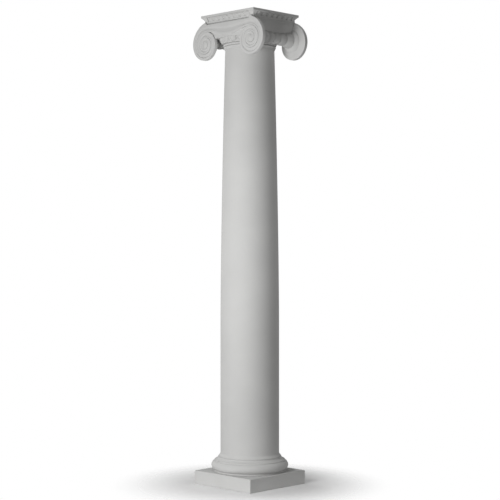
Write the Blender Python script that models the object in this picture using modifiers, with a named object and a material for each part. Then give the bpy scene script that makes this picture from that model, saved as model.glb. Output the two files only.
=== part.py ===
"""Ionic column in pale stone: square plinth, round base moulding, tapering shaft and carved capital.

Run it with: blender --background --python part.py
Lengths are metres and +Z is up. The origin is on the ground, under the column's axis, and the two
volute faces of the capital look along -Y and +Y.
"""

import math

import bmesh
import bpy
import numpy as np
from mathutils import Matrix

# Stacking
JOINT = 0.0003
ROUND_STEPS = 36

# Plinth
PLINTH_SIDE = 0.4064
PLINTH_HEIGHT = 0.070
PLINTH_EDGE = 0.0015

# Base moulding, bottom to top
BASE_FOOT_INSET = 0.015
BASE_FOOT_HEIGHT = 0.006
TORUS_RADIUS = 0.200
TORUS_ROUND = 0.0255
BASE_FILLET_INSET = 0.017
BASE_FILLET_HEIGHT = 0.0045
COVE_HEIGHT = 0.014
COVE_TOP_RADIUS = 0.165
BASE_RIM_HEIGHT = 0.0022

# Shaft
SHAFT_LENGTH = 2.1108
SHAFT_RADIUS = 0.1527
SHAFT_NECK_RADIUS = 0.1284
SHAFT_FOOT_OVERHANG = 0.0089
SHAFT_FOOT_HEIGHT = 0.0037
APOPHYGE_HEIGHT = 0.016
ENTASIS_START = 1 / 3
ENTASIS_POWER = 1.5

# Capital: astragal and echinus, as a turned core
NECK_OVERHANG = 0.003
NECK_FILLET_HEIGHT = 0.005
LOWER_BEAD_HEIGHT = 0.012
UPPER_BEAD_HEIGHT = 0.011
LOWER_BEAD_OVERHANG = 0.0075
UPPER_BEAD_OVERHANG = 0.0100
ECHINUS_GROOVE = 0.002
EGG_BAND_HEIGHT = 0.0271
EGG_BAND_FOOT_RADIUS = 0.149
EGG_BAND_TOP_RADIUS = 0.161
EGG_COUNT = 20
EGG_DEPTH = 0.0065
HOOP_HEIGHT = 0.021
HOOP_RADIUS = 0.1635

# Capital: scrolls, measured from the eye of a volute
FACE_DEPTH = 0.1663
SCROLL_THICKNESS = 0.019
EYE_SPACING = 0.1638
VOLUTE_TOP = 0.1011
VOLUTE_END = 0.0150
VOLUTE_TURNS = 3
VOLUTE_POWER = 1.35
VOLUTE_STEPS = 16
LIST_WIDTH = 0.0115
HEM_WIDTH = 0.0100
CHANNEL_DEPTH = 0.0055
HEM_DEPTH = 0.0020
EYE_RADIUS = 0.0180
EYE_BULGE = 0.0095
EYE_SET = 0.004
CANALIS_OVERLAP = 0.01274
CANALIS_SAG = 0.030
CANALIS_STEPS = 8
SHOULDER_RISE = 0.0125
SHOULDER_POWER = 2.2
SHOULDER_TURN = 1 / 6
SHOULDER_RUN = 0.014

# Capital: bolsters between the volutes
BOLSTER_RADIUS = 0.0315
BOLSTER_INSET = 0.006
BOLSTER_RAISE = 0.019
BOLSTER_STEPS = 18
FLARE_SLOW = 0.22
FLARE_SLOW_POWER = 2
FLARE_FAST = 0.28
FLARE_FAST_POWER = 10
FLANGE_REACH = 0.96
FLANGE_DISH = 0.0035
FLANGE_SINK = 0.001
BOLSTER_SINK = 0.006
RIB_WIDTH = 0.042
RIB_DEPTH = 0.004

# Capital: block and abacus
BLOCK_HALF_WIDTH = 0.1735
BLOCK_DROP = 0.002
BLOCK_SINK = 0.0095
ABACUS_HALF_WIDTH = 0.1916
ABACUS_HALF_DEPTH = 0.1684
ABACUS_SPREAD = 0.0145
ABACUS_NECK_HEIGHT = 0.009
ABACUS_FILLET_HEIGHT = 0.0078
ABACUS_OVOLO_HEIGHT = 0.0205
ABACUS_BAND_HEIGHT = 0.0115
ABACUS_NECK_INSET = 0.003
ABACUS_EGG_PITCH = 0.038
ABACUS_EGG_GROUND = 0.0025
ABACUS_EGG_DEPTH = 0.0075
ABACUS_CORNER = 0.037
EGG_BODY_STEPS = 6

# Levels worked out from the sizes above
BASE_BOTTOM = PLINTH_HEIGHT + JOINT
BASE_FOOT_RADIUS = TORUS_RADIUS - BASE_FOOT_INSET
BASE_FILLET_RADIUS = TORUS_RADIUS - BASE_FILLET_INSET
TORUS_LEVEL = BASE_BOTTOM + BASE_FOOT_HEIGHT + TORUS_ROUND
TORUS_CENTRE = TORUS_RADIUS - TORUS_ROUND
TORUS_SHOULDER = math.acos((BASE_FILLET_RADIUS - TORUS_CENTRE) / TORUS_ROUND)
BASE_FILLET_LEVEL = TORUS_LEVEL + TORUS_ROUND * math.sin(TORUS_SHOULDER)
COVE_LEVEL = BASE_FILLET_LEVEL + BASE_FILLET_HEIGHT
BASE_TOP = COVE_LEVEL + COVE_HEIGHT + BASE_RIM_HEIGHT
SHAFT_BOTTOM = BASE_TOP + JOINT
SHAFT_TOP = SHAFT_BOTTOM + SHAFT_LENGTH
CAPITAL_BOTTOM = SHAFT_TOP + JOINT
LOWER_BEAD_LEVEL = CAPITAL_BOTTOM + NECK_FILLET_HEIGHT
UPPER_BEAD_LEVEL = LOWER_BEAD_LEVEL + LOWER_BEAD_HEIGHT
ASTRAGAL_TOP = UPPER_BEAD_LEVEL + UPPER_BEAD_HEIGHT
EGG_BAND_LEVEL = ASTRAGAL_TOP + ECHINUS_GROOVE
HOOP_LEVEL = EGG_BAND_LEVEL + EGG_BAND_HEIGHT
HOOP_TOP = HOOP_LEVEL + HOOP_HEIGHT
FIRST_PITCH = (VOLUTE_TOP - VOLUTE_END) * (1 - (1 - 1 / VOLUTE_TURNS) ** VOLUTE_POWER)
CANALIS_TOP = HOOP_TOP - CANALIS_OVERLAP + CANALIS_SAG + FIRST_PITCH
EYE_LEVEL = CANALIS_TOP - VOLUTE_TOP
ABACUS_FILLET_LEVEL = CANALIS_TOP + ABACUS_NECK_HEIGHT
ABACUS_OVOLO_LEVEL = ABACUS_FILLET_LEVEL + ABACUS_FILLET_HEIGHT
ABACUS_BAND_LEVEL = ABACUS_OVOLO_LEVEL + ABACUS_OVOLO_HEIGHT
COLUMN_HEIGHT = ABACUS_BAND_LEVEL + ABACUS_BAND_HEIGHT


def clear_scene():
    for item in list(bpy.data.objects):
        bpy.data.objects.remove(item, do_unlink=True)


def new_collection(name):
    collection = bpy.data.collections.new(name)
    bpy.context.scene.collection.children.link(collection)
    return collection


def stone(name, colour, roughness):
    """Matt cast stone, in a slightly different tone for each piece."""
    material = bpy.data.materials.new(name)
    material.use_nodes = True
    shader = material.node_tree.nodes["Principled BSDF"]
    shader.inputs["Base Color"].default_value = (*colour, 1.0)
    shader.inputs["Roughness"].default_value = roughness
    shader.inputs["Metallic"].default_value = 0.0
    return material


def object_from(bm, name, collection):
    """One closed body from a bmesh, with its faces turned outwards."""
    bmesh.ops.recalc_face_normals(bm, faces=bm.faces)
    mesh = bpy.data.meshes.new(name)
    bm.to_mesh(mesh)
    bm.free()
    item = bpy.data.objects.new(name, mesh)
    collection.objects.link(item)
    return item


def smooth(item, degrees=35):
    item.data.shade_smooth()
    item.data.set_sharp_from_angle(angle=math.radians(degrees))


def turned(name, profile, collection, steps=ROUND_STEPS):
    """A turned body: the profile runs from the axis at the top, down the outer side, to the axis."""
    mesh = bpy.data.meshes.new(name)
    points = [(radius, 0.0, level) for radius, level in profile]
    edges = [(i, i + 1) for i in range(len(points) - 1)]
    mesh.from_pydata(points, edges, [])
    item = bpy.data.objects.new(name, mesh)
    collection.objects.link(item)
    screw = item.modifiers.new("turn", "SCREW")
    screw.axis = "Z"
    screw.angle = math.tau
    screw.steps = steps
    screw.render_steps = steps
    screw.use_merge_vertices = True
    screw.merge_threshold = 0.0001
    screw.use_smooth_shade = True
    return item


def arc(centre_radius, centre_level, radius, start, end, count):
    """Points on a circle of the profile plane, by angles in degrees above the outward direction."""
    angles = np.radians(np.linspace(start, end, count))
    return [(centre_radius + radius * math.cos(a), centre_level + radius * math.sin(a)) for a in angles]


def cove(low_radius, low_level, high_radius, high_level, count):
    """Points of a hollow quarter curve from its narrow top down to its wide foot."""
    points = []
    for share in np.linspace(1, 0, count):
        swell = 1 - math.sin(share * math.pi / 2)
        radius = high_radius + (low_radius - high_radius) * swell
        points.append((radius, low_level + (high_level - low_level) * share))
    return points


def make_plinth(collection):
    bpy.ops.mesh.primitive_cube_add(size=1.0)
    plinth = bpy.context.active_object
    plinth.name = "plinth"
    for vertex in plinth.data.vertices:
        vertex.co.x *= PLINTH_SIDE
        vertex.co.y *= PLINTH_SIDE
        vertex.co.z = (vertex.co.z + 0.5) * PLINTH_HEIGHT
    for owner in list(plinth.users_collection):
        owner.objects.unlink(plinth)
    collection.objects.link(plinth)
    bevel = plinth.modifiers.new("edge", "BEVEL")
    bevel.width = PLINTH_EDGE
    bevel.segments = 1
    plinth.data.materials.append(stone("plinth stone", (0.60, 0.60, 0.59), 0.85))
    return plinth


def make_base(collection):
    """Foot fillet, torus, fillet and a hollow curve that draws in to the shaft."""
    profile = [(0.0, BASE_TOP), (COVE_TOP_RADIUS, BASE_TOP)]
    profile += cove(BASE_FILLET_RADIUS, COVE_LEVEL, COVE_TOP_RADIUS, COVE_LEVEL + COVE_HEIGHT, 4)
    shoulder = math.degrees(TORUS_SHOULDER)
    foot_angle = -math.degrees(math.acos((BASE_FOOT_RADIUS - TORUS_CENTRE) / TORUS_ROUND))
    profile += arc(TORUS_CENTRE, TORUS_LEVEL, TORUS_ROUND, shoulder, foot_angle, 8)
    profile += [(BASE_FOOT_RADIUS, BASE_BOTTOM), (0.0, BASE_BOTTOM)]
    base = turned("base_moulding", profile, collection)
    base.data.materials.append(stone("base stone", (0.61, 0.61, 0.60), 0.85))
    return base


def shaft_radius(share):
    """The shaft is straight for its lower third, then swells in to the neck."""
    above = max(0.0, (share - ENTASIS_START) / (1 - ENTASIS_START))
    return SHAFT_RADIUS - (SHAFT_RADIUS - SHAFT_NECK_RADIUS) * above**ENTASIS_POWER


def make_shaft(collection):
    foot_radius = SHAFT_RADIUS + SHAFT_FOOT_OVERHANG
    foot_top = SHAFT_BOTTOM + SHAFT_FOOT_HEIGHT
    profile = [(0.0, SHAFT_TOP)]
    for share in np.linspace(1, ENTASIS_START, 7):
        profile.append((shaft_radius(share), SHAFT_BOTTOM + SHAFT_LENGTH * share))
    profile += cove(foot_radius, foot_top, SHAFT_RADIUS, foot_top + APOPHYGE_HEIGHT, 4)
    profile += [(foot_radius, SHAFT_BOTTOM), (0.0, SHAFT_BOTTOM)]
    shaft = turned("shaft", profile, collection)
    shaft.data.materials.append(stone("shaft stone", (0.62, 0.62, 0.61), 0.85))
    return shaft


def make_core(collection):
    """Turned middle of the capital: neck fillet, two beads, groove, hoop and the drum above it."""
    neck = SHAFT_NECK_RADIUS + NECK_OVERHANG
    lower_bead = SHAFT_NECK_RADIUS + LOWER_BEAD_OVERHANG
    upper_bead = SHAFT_NECK_RADIUS + UPPER_BEAD_OVERHANG
    upper = UPPER_BEAD_HEIGHT / 2
    lower = LOWER_BEAD_HEIGHT / 2
    hoop = HOOP_HEIGHT / 2
    drum = HOOP_RADIUS - hoop / 2
    drum_top = (HOOP_TOP + CANALIS_TOP) / 2
    profile = [(0.0, drum_top), (drum, drum_top)]
    profile += arc(HOOP_RADIUS - hoop, HOOP_LEVEL + hoop, hoop, 60, -90, 5)
    profile += [(neck, HOOP_LEVEL), (neck, ASTRAGAL_TOP)]
    profile += arc(upper_bead - upper, UPPER_BEAD_LEVEL + upper, upper, 60, -60, 3)
    profile += arc(lower_bead - lower, LOWER_BEAD_LEVEL + lower, lower, 60, -60, 3)
    profile += [(neck, LOWER_BEAD_LEVEL), (neck, CAPITAL_BOTTOM), (0.0, CAPITAL_BOTTOM)]
    return turned("capital", profile, collection)


def loft(name, rings, collection):
    """A closed body through rings of equal count, capped at both ends."""
    bm = bmesh.new()
    rows = [[bm.verts.new(point) for point in ring] for ring in rings]
    for low, high in zip(rows, rows[1:]):
        for i in range(len(low)):
            j = (i + 1) % len(low)
            bm.faces.new((low[i], low[j], high[j], high[i]))
    bm.faces.new(rows[0])
    bm.faces.new(rows[-1])
    return object_from(bm, name, collection)


# Across one unit of the egg band: place between two darts, and how far the stone stands out.
EGG_SECTION = ((-0.66, 0.0), (-0.38, 0.8), (0.0, 1.0), (0.38, 0.8), (0.66, 0.0), (1.0, 0.62))


def make_egg_band(collection):
    """Quarter-round ring cut into eggs and darts, with a dart on the middle of each face."""
    rings = []
    for share in (0.0, 0.2, 0.5, 0.8, 1.0):
        swell = math.sin(share * math.pi / 2)
        full = EGG_BAND_FOOT_RADIUS + (EGG_BAND_TOP_RADIUS - EGG_BAND_FOOT_RADIUS) * swell
        ring = []
        for unit in range(EGG_COUNT):
            for place, proud in EGG_SECTION:
                angle = math.tau * (unit + 0.5 + place / 2) / EGG_COUNT - math.pi / 2
                radius = full - EGG_DEPTH * (1 - proud)
                ring.append((radius * math.cos(angle), radius * math.sin(angle)))
        level = EGG_BAND_LEVEL + (EGG_BAND_HEIGHT + JOINT) * share
        rings.append([(x, y, level) for x, y in ring])
    return loft("egg band", rings, collection)


def volute_radius(turn):
    """Distance from the eye to the outer edge of the scroll after so many turns from its top."""
    left = max(0.0, 1 - turn / VOLUTE_TURNS)
    return VOLUTE_END + (VOLUTE_TOP - VOLUTE_END) * left**VOLUTE_POWER


def shoulder(share):
    """How far the scroll's outer edge rises towards the abacus, over a volute's first part of a turn."""
    return SHOULDER_RISE * max(0.0, 1 - share) ** SHOULDER_POWER


def scroll_section(outer, inner, rise=0.0):
    """Across the scroll strip: flat list, channel and rounded hem, as (distance, depth) pairs."""
    scale = (outer - inner) / FIRST_PITCH
    shallow = min(1.0, scale)
    channel = CHANNEL_DEPTH * shallow
    list_edge = outer - LIST_WIDTH * scale
    return [
        (outer + rise, 0.0),
        (list_edge, 0.0),
        (list_edge - channel / 2, channel),
        (inner + HEM_WIDTH * scale / 2, HEM_DEPTH * shallow),
        (inner, channel),
    ]


def canalis_height(x):
    """Height of the strip between the volutes, which sags in a smooth curve to the middle."""
    return FIRST_PITCH + CANALIS_SAG * (1 + math.cos(math.pi * x / EYE_SPACING)) / 2


def add_face(bm, *corners):
    """A face without the corners that fall together."""
    kept = []
    for corner in corners:
        if corner not in kept:
            kept.append(corner)
    if len(kept) > 2:
        bm.faces.new(kept)


def add_volute(bm, side, seam, seam_back):
    """Spiral strip of one volute, wound from the seam with the canalis in to its eye."""

    def vertex(turn, distance, depth):
        x = side * (EYE_SPACING + distance * math.sin(math.tau * turn))
        z = EYE_LEVEL + distance * math.cos(math.tau * turn)
        return bm.verts.new((x, depth - FACE_DEPTH, z))

    steps = VOLUTE_STEPS
    total = steps * VOLUTE_TURNS
    apex = vertex(0, VOLUTE_END, 0.0)
    rows = [seam]
    for k in range(1, total):
        turn = k / steps
        rise = shoulder(turn / SHOULDER_TURN)
        section = scroll_section(volute_radius(turn), volute_radius(turn + 1), rise)
        rows.append([vertex(turn, distance, depth) for distance, depth in section])
    rows.append([apex] * len(seam))
    ring = [apex] + [vertex(i / steps, VOLUTE_END, 0.0) for i in range(1, steps)]
    for k in range(total):
        here, there = rows[k], rows[k + 1]
        for m in range(len(here) - 1):
            add_face(bm, here[m], there[m], there[m + 1], here[m + 1])
        if k + steps < total:
            inner_here = rows[k + steps][0]
            inner_there = rows[k + 1 + steps][0]
        else:
            inner_here = ring[k % steps]
            inner_there = ring[(k + 1) % steps]
        add_face(bm, here[-1], there[-1], inner_there, inner_here)
    bm.faces.new(ring)
    back_top, back_low = seam_back
    backs = [back_top]
    for k in range(1, steps):
        turn = k / steps
        backs.append(vertex(turn, volute_radius(turn) + shoulder(turn / SHOULDER_TURN), SCROLL_THICKNESS))
    backs.append(back_low)
    for k in range(steps - 1):
        add_face(bm, rows[k][0], rows[k + 1][0], backs[k + 1], backs[k])
    add_face(bm, rows[steps - 1][0], rows[steps][0], seam[-1], back_low, backs[steps - 1])
    centre = vertex(0, 0.0, SCROLL_THICKNESS)
    add_face(bm, centre, back_low, back_top, backs[1])
    for k in range(1, steps):
        add_face(bm, centre, backs[k], backs[k + 1])


def make_scroll(name, collection):
    """One face of the capital: two volutes and the canalis between them, as one slab."""
    bm = bmesh.new()
    sections = []
    backs = []
    reach = EYE_SPACING - SHOULDER_RUN
    places = [-EYE_SPACING, *np.linspace(-reach, reach, CANALIS_STEPS + 1), EYE_SPACING]
    for x in places:
        height = canalis_height(x)
        rise = shoulder((EYE_SPACING - abs(x)) / SHOULDER_RUN)
        points = scroll_section(height, 0.0, rise)
        low = CANALIS_TOP - height
        sections.append([bm.verts.new((x, depth - FACE_DEPTH, low + above)) for above, depth in points])
        back = SCROLL_THICKNESS - FACE_DEPTH
        backs.append((bm.verts.new((x, back, CANALIS_TOP + rise)), bm.verts.new((x, back, low))))
    for j in range(len(places) - 1):
        here, there = sections[j], sections[j + 1]
        for m in range(len(here) - 1):
            add_face(bm, here[m], there[m], there[m + 1], here[m + 1])
        add_face(bm, here[0], there[0], backs[j + 1][0], backs[j][0])
        add_face(bm, here[-1], there[-1], backs[j + 1][1], backs[j][1])
        add_face(bm, backs[j][0], backs[j + 1][0], backs[j + 1][1], backs[j][1])
    add_volute(bm, -1, sections[0], backs[0])
    add_volute(bm, 1, sections[-1], backs[-1])
    return object_from(bm, name, collection)


def flare(share):
    """How far the bolster has opened towards the volute's outline, from waist to scroll."""
    return FLARE_SLOW * share**FLARE_SLOW_POWER + FLARE_FAST * share**FLARE_FAST_POWER


def make_bolster(side, collection):
    """Double trumpet from scroll to scroll, in rounded ribs that end in a dished flange."""
    scroll_back = FACE_DEPTH - SCROLL_THICKNESS
    flange = scroll_back - FLANGE_DISH
    inside = scroll_back + BOLSTER_SINK
    ribs = max(1, int(flange / RIB_WIDTH - 0.25))
    edges = [RIB_WIDTH * i for i in range(ribs + 1)] + [flange]
    stations = []
    for low, high in zip(edges, edges[1:]):
        wide = high - low
        stations.append((low, 0.0, flare(low / flange)))
        stations.append((low + wide * 0.3, 0.85, flare((low + wide * 0.3) / flange)))
        stations.append((low + wide * 0.7, 0.85, flare((low + wide * 0.7) / flange)))
    sunk = scroll_back + FLANGE_SINK
    stations += [(flange, 0.0, flare(1.0)), (sunk, 0.0, FLANGE_REACH), (inside, 0.0, FLANGE_REACH)]
    mirrored = [(-place, proud, opened) for place, proud, opened in reversed(stations[1:])]
    rings = []
    for place, proud, opened in mirrored + stations:
        ring = []
        for i in range(BOLSTER_STEPS):
            turn = i / BOLSTER_STEPS
            waist = BOLSTER_RADIUS - RIB_DEPTH * (1 - proud)
            reach = waist + (volute_radius(turn) - waist) * opened
            x = EYE_SPACING - BOLSTER_INSET * (1 - opened) + reach * math.sin(math.tau * turn)
            z = EYE_LEVEL + BOLSTER_RAISE * (1 - opened) + reach * math.cos(math.tau * turn)
            ring.append((side * x, place, z))
        rings.append(ring)
    return loft("bolster", rings, collection)


def box_body(name, half_x, half_y, low, high, collection):
    bm = bmesh.new()
    bmesh.ops.create_cube(bm, size=1.0)
    for vertex in bm.verts:
        vertex.co.x *= 2 * half_x
        vertex.co.y *= 2 * half_y
        vertex.co.z = low + (vertex.co.z + 0.5) * (high - low)
    return object_from(bm, name, collection)


def abacus_outline(inset, level):
    """Corners of the rectangular abacus, drawn in by an inset."""
    x = ABACUS_HALF_WIDTH - inset
    y = ABACUS_HALF_DEPTH - inset
    return [(-x, -y, level), (x, -y, level), (x, y, level), (-x, y, level)]


def make_abacus(collection):
    """Neck, fillet, quarter-round and top band, run round a rectangle and mitred at its corners."""
    spread = ABACUS_SPREAD
    neck = spread + ABACUS_NECK_INSET
    rings = [
        abacus_outline(neck, CANALIS_TOP - ABACUS_NECK_HEIGHT),
        abacus_outline(neck, ABACUS_FILLET_LEVEL),
        abacus_outline(spread, ABACUS_FILLET_LEVEL),
        abacus_outline(spread, ABACUS_OVOLO_LEVEL),
    ]
    for share in (0.25, 0.5, 0.75, 1.0):
        drawn = spread * math.cos(share * math.pi / 2) + ABACUS_EGG_GROUND
        rings.append(abacus_outline(drawn, ABACUS_OVOLO_LEVEL + ABACUS_OVOLO_HEIGHT * share))
    rings.append(abacus_outline(0.0, ABACUS_BAND_LEVEL))
    rings.append(abacus_outline(0.0, COLUMN_HEIGHT))
    return loft("abacus", rings, collection)


def make_abacus_eggs(collection):
    """Eggs along the quarter-round of the abacus, clear of its corners."""
    bm = bmesh.new()
    level = ABACUS_OVOLO_LEVEL + ABACUS_OVOLO_HEIGHT * 0.52
    drawn = ABACUS_SPREAD * 0.9
    sides = ((ABACUS_HALF_WIDTH, ABACUS_HALF_DEPTH, 0), (ABACUS_HALF_DEPTH, ABACUS_HALF_WIDTH, 90))
    for half_run, distance, quarter in sides:
        run = 2 * (half_run - ABACUS_CORNER)
        count = round(run / ABACUS_EGG_PITCH)
        width = run / count * 0.46
        shape = Matrix.Diagonal((width, ABACUS_EGG_DEPTH, ABACUS_OVOLO_HEIGHT * 0.56, 1.0))
        for face in (quarter, quarter + 180):
            for i in range(count):
                place = run * ((i + 0.5) / count - 0.5)
                put = Matrix.Translation((place, drawn - distance, level))
                turn = Matrix.Rotation(math.radians(face), 4, "Z")
                bmesh.ops.create_uvsphere(
                    bm,
                    u_segments=EGG_BODY_STEPS,
                    v_segments=5,
                    radius=1.0,
                    matrix=turn @ put @ shape,
                )
    return object_from(bm, "abacus eggs", collection)


def make_eyes(collection):
    """Round eye in the middle of each volute."""
    bm = bmesh.new()
    for x in (-EYE_SPACING, EYE_SPACING):
        for y in (-1, 1):
            shape = Matrix.Diagonal((EYE_RADIUS, EYE_BULGE, EYE_RADIUS, 1.0))
            put = Matrix.Translation((x, y * (FACE_DEPTH - EYE_SET), EYE_LEVEL))
            turn = Matrix.Rotation(math.radians(90), 4, "X")
            bmesh.ops.create_uvsphere(
                bm, u_segments=10, v_segments=6, radius=1.0, matrix=put @ shape @ turn
            )
    return object_from(bm, "eyes", collection)


def make_capital(collection, cutters):
    """The turned core joined with its egg band, scrolls, bolsters, block and abacus in one body."""
    capital = make_core(collection)
    front = make_scroll("front scroll", cutters)
    back = make_scroll("back scroll", cutters)
    back.data.transform(Matrix.Rotation(math.pi, 4, "Z"))
    inside = FACE_DEPTH - SCROLL_THICKNESS + BLOCK_SINK
    block_bottom = HOOP_LEVEL - BLOCK_DROP
    block = box_body("block", BLOCK_HALF_WIDTH, inside, block_bottom, CANALIS_TOP - JOINT, cutters)
    joined = [
        make_egg_band(cutters),
        make_bolster(-1, cutters),
        make_bolster(1, cutters),
        block,
        front,
        back,
        make_abacus(cutters),
        make_abacus_eggs(cutters),
        make_eyes(cutters),
    ]
    for item in joined:
        item.hide_render = True
        item.display_type = "WIRE"
        union = capital.modifiers.new(item.name, "BOOLEAN")
        union.operation = "UNION"
        union.solver = "EXACT"
        union.object = item
    capital.data.materials.append(stone("capital stone", (0.63, 0.63, 0.62), 0.85))
    return capital


clear_scene()
column = new_collection("ionic column")
cutters = new_collection("joined shapes")
smooth(make_plinth(column))
make_base(column)
make_shaft(column)
make_capital(column, cutters)
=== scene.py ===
import math

import bmesh
import bpy
import numpy as np
from mathutils import Matrix, Vector


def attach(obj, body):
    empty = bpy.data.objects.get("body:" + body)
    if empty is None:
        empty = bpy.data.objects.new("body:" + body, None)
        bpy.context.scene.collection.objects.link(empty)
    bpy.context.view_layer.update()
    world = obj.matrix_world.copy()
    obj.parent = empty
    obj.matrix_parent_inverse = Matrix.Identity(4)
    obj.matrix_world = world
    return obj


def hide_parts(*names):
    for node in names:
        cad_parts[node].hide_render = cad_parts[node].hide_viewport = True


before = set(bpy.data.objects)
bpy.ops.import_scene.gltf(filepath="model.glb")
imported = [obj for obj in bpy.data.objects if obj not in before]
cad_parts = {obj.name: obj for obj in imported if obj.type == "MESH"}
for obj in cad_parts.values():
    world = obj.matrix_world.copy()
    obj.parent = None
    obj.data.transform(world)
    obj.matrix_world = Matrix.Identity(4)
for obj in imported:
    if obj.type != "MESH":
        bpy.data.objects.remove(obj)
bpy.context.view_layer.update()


# Plinth
# The real plinth is a plain square slab of cast stone, rubbed smooth, with its sharp edges just taken off.
# The column's weight holds it down on a thin bed of mortar.
PLINTH_SIDE = 0.4064
PLINTH_HEIGHT = 0.070
PLINTH_ARRIS = 0.0015


def stone(name, colour, cloud_scale, seed):
    """Matt cast stone: soft clouding, fine grain, tiny pores, painted shade in its recesses and lighter sharp
    edges.
    """
    material = bpy.data.materials.new(name)
    material.use_nodes = True
    nodes = material.node_tree.nodes
    links = material.node_tree.links
    shader = nodes["Principled BSDF"]
    shader.inputs["Metallic"].default_value = 0.0
    shader.inputs["Specular IOR Level"].default_value = 0.25
    place = nodes.new("ShaderNodeTexCoord")

    def noise(scale, detail, offset):
        shift = nodes.new("ShaderNodeMapping")
        shift.inputs["Location"].default_value = (offset, 0.37 * offset, 0.71 * offset)
        texture = nodes.new("ShaderNodeTexNoise")
        texture.inputs["Scale"].default_value = scale
        texture.inputs["Detail"].default_value = detail
        links.new(place.outputs["Object"], shift.inputs["Vector"])
        links.new(shift.outputs["Vector"], texture.inputs["Vector"])
        return texture.outputs["Fac"]

    def spread(value, low, high, to_low, to_high):
        ranged = nodes.new("ShaderNodeMapRange")
        ranged.inputs["From Min"].default_value = low
        ranged.inputs["From Max"].default_value = high
        ranged.inputs["To Min"].default_value = to_low
        ranged.inputs["To Max"].default_value = to_high
        links.new(value, ranged.inputs["Value"])
        return ranged.outputs["Result"]

    def combined(operation, first, second):
        node = nodes.new("ShaderNodeMath")
        node.operation = operation
        links.new(first, node.inputs[0])
        links.new(second, node.inputs[1])
        return node.outputs["Value"]

    clouds = noise(cloud_scale, 4.0, seed)
    grain = noise(520.0, 3.0, seed + 3.1)
    pores = nodes.new("ShaderNodeTexVoronoi")
    pores.inputs["Scale"].default_value = 210.0
    links.new(place.outputs["Object"], pores.inputs["Vector"])
    pits = spread(pores.outputs["Distance"], 0.06, 0.20, 0.0, 1.0)
    # Painted shade: an occlusion node darkens the colour by up to eight percent in creases and recesses.
    recess = nodes.new("ShaderNodeAmbientOcclusion")
    recess.samples = 8
    recess.inputs["Distance"].default_value = 0.02
    painted_recess_shade = spread(recess.outputs["AO"], 0.25, 0.95, 0.92, 1.0)
    # Sharp convex edges are made up to five percent lighter.
    edge_pointiness = nodes.new("ShaderNodeNewGeometry")
    lighter_edges = spread(edge_pointiness.outputs["Pointiness"], 0.50, 0.58, 1.0, 1.05)
    tone = spread(clouds, 0.30, 0.70, 0.965, 1.03)
    tone = combined("MULTIPLY", tone, spread(grain, 0.30, 0.70, 0.975, 1.02))
    tone = combined("MULTIPLY", tone, spread(pits, 0.0, 1.0, 0.93, 1.0))
    # The painted shade in creases and recesses is multiplied into the colour here.
    tone = combined("MULTIPLY", tone, painted_recess_shade)
    tone = combined("MULTIPLY", tone, lighter_edges)
    scaled = nodes.new("ShaderNodeVectorMath")
    scaled.operation = "SCALE"
    scaled.inputs[0].default_value = colour
    links.new(tone, scaled.inputs["Scale"])
    links.new(scaled.outputs["Vector"], shader.inputs["Base Color"])
    links.new(spread(clouds, 0.30, 0.70, 0.80, 0.90), shader.inputs["Roughness"])
    relief = combined("MULTIPLY", spread(grain, 0.2, 0.8, 0.7, 1.0), pits)
    bump = nodes.new("ShaderNodeBump")
    bump.inputs["Strength"].default_value = 0.35
    bump.inputs["Distance"].default_value = 0.0004
    links.new(relief, bump.inputs["Height"])
    links.new(bump.outputs["Normal"], shader.inputs["Normal"])
    return material


def new_piece(name, mesh, material, node):
    """Put a finished mesh in the scene as the piece that stands for one CAD node."""
    mesh.name = name
    mesh.materials.clear()
    mesh.materials.append(material)
    mesh.polygons.foreach_set("material_index", [0] * len(mesh.polygons))
    piece = bpy.data.objects.new(name, mesh)
    bpy.context.scene.collection.objects.link(piece)
    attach(piece, "root")
    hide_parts(node)
    return piece


def rounded_slab(side, low, high, arris):
    bm = bmesh.new()
    bmesh.ops.create_cube(bm, size=1.0)
    for vertex in bm.verts:
        vertex.co.x *= side
        vertex.co.y *= side
        vertex.co.z = low + (vertex.co.z + 0.5) * (high - low)
    bmesh.ops.bevel(bm, geom=bm.edges[:], offset=arris, segments=4, profile=0.5, affect="EDGES")
    for face in bm.faces:
        face.smooth = face.calc_area() < side * arris
    mesh = bpy.data.meshes.new("slab")
    bm.to_mesh(mesh)
    bm.free()
    return mesh


plinth_mesh = rounded_slab(PLINTH_SIDE, 0.0, PLINTH_HEIGHT, PLINTH_ARRIS)
new_piece(
    "plinth_slab",
    plinth_mesh,
    stone("plinth stone", (0.60, 0.60, 0.592), cloud_scale=7.0, seed=1.7),
    "plinth",
)


# Base moulding
# The real base moulding is a turned ring of the same cast stone: foot fillet, torus, fillet and hollow curve.
# It is bedded in mortar on the plinth, and carries the shaft.
JOINT = 0.0003
BASE_BOTTOM = PLINTH_HEIGHT + JOINT
BASE_FOOT_RADIUS = 0.185
BASE_FOOT_HEIGHT = 0.006
TORUS_RADIUS = 0.200
TORUS_ROUND = 0.0255
TORUS_CENTRE = TORUS_RADIUS - TORUS_ROUND
TORUS_LEVEL = BASE_BOTTOM + BASE_FOOT_HEIGHT + TORUS_ROUND
BASE_FILLET_RADIUS = 0.183
BASE_FILLET_HEIGHT = 0.0045
TORUS_SHOULDER = math.acos((BASE_FILLET_RADIUS - TORUS_CENTRE) / TORUS_ROUND)
COVE_LEVEL = TORUS_LEVEL + TORUS_ROUND * math.sin(TORUS_SHOULDER) + BASE_FILLET_HEIGHT
COVE_HEIGHT = 0.014
COVE_TOP_RADIUS = 0.165
COVE_TOP_HEIGHT = 0.0022
BASE_TOP = COVE_LEVEL + COVE_HEIGHT + COVE_TOP_HEIGHT
TORUS_FOOT_ANGLE = -65.6
FINE_ARRIS = 0.0006
TURNED_STEPS = 192


def arc(centre_radius, centre_level, radius, start, end, count):
    """Points on a circle of the profile plane, by angles in degrees above the outward direction."""
    angles = np.radians(np.linspace(start, end, count))
    return [(centre_radius + radius * math.cos(a), centre_level + radius * math.sin(a)) for a in angles]


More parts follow.
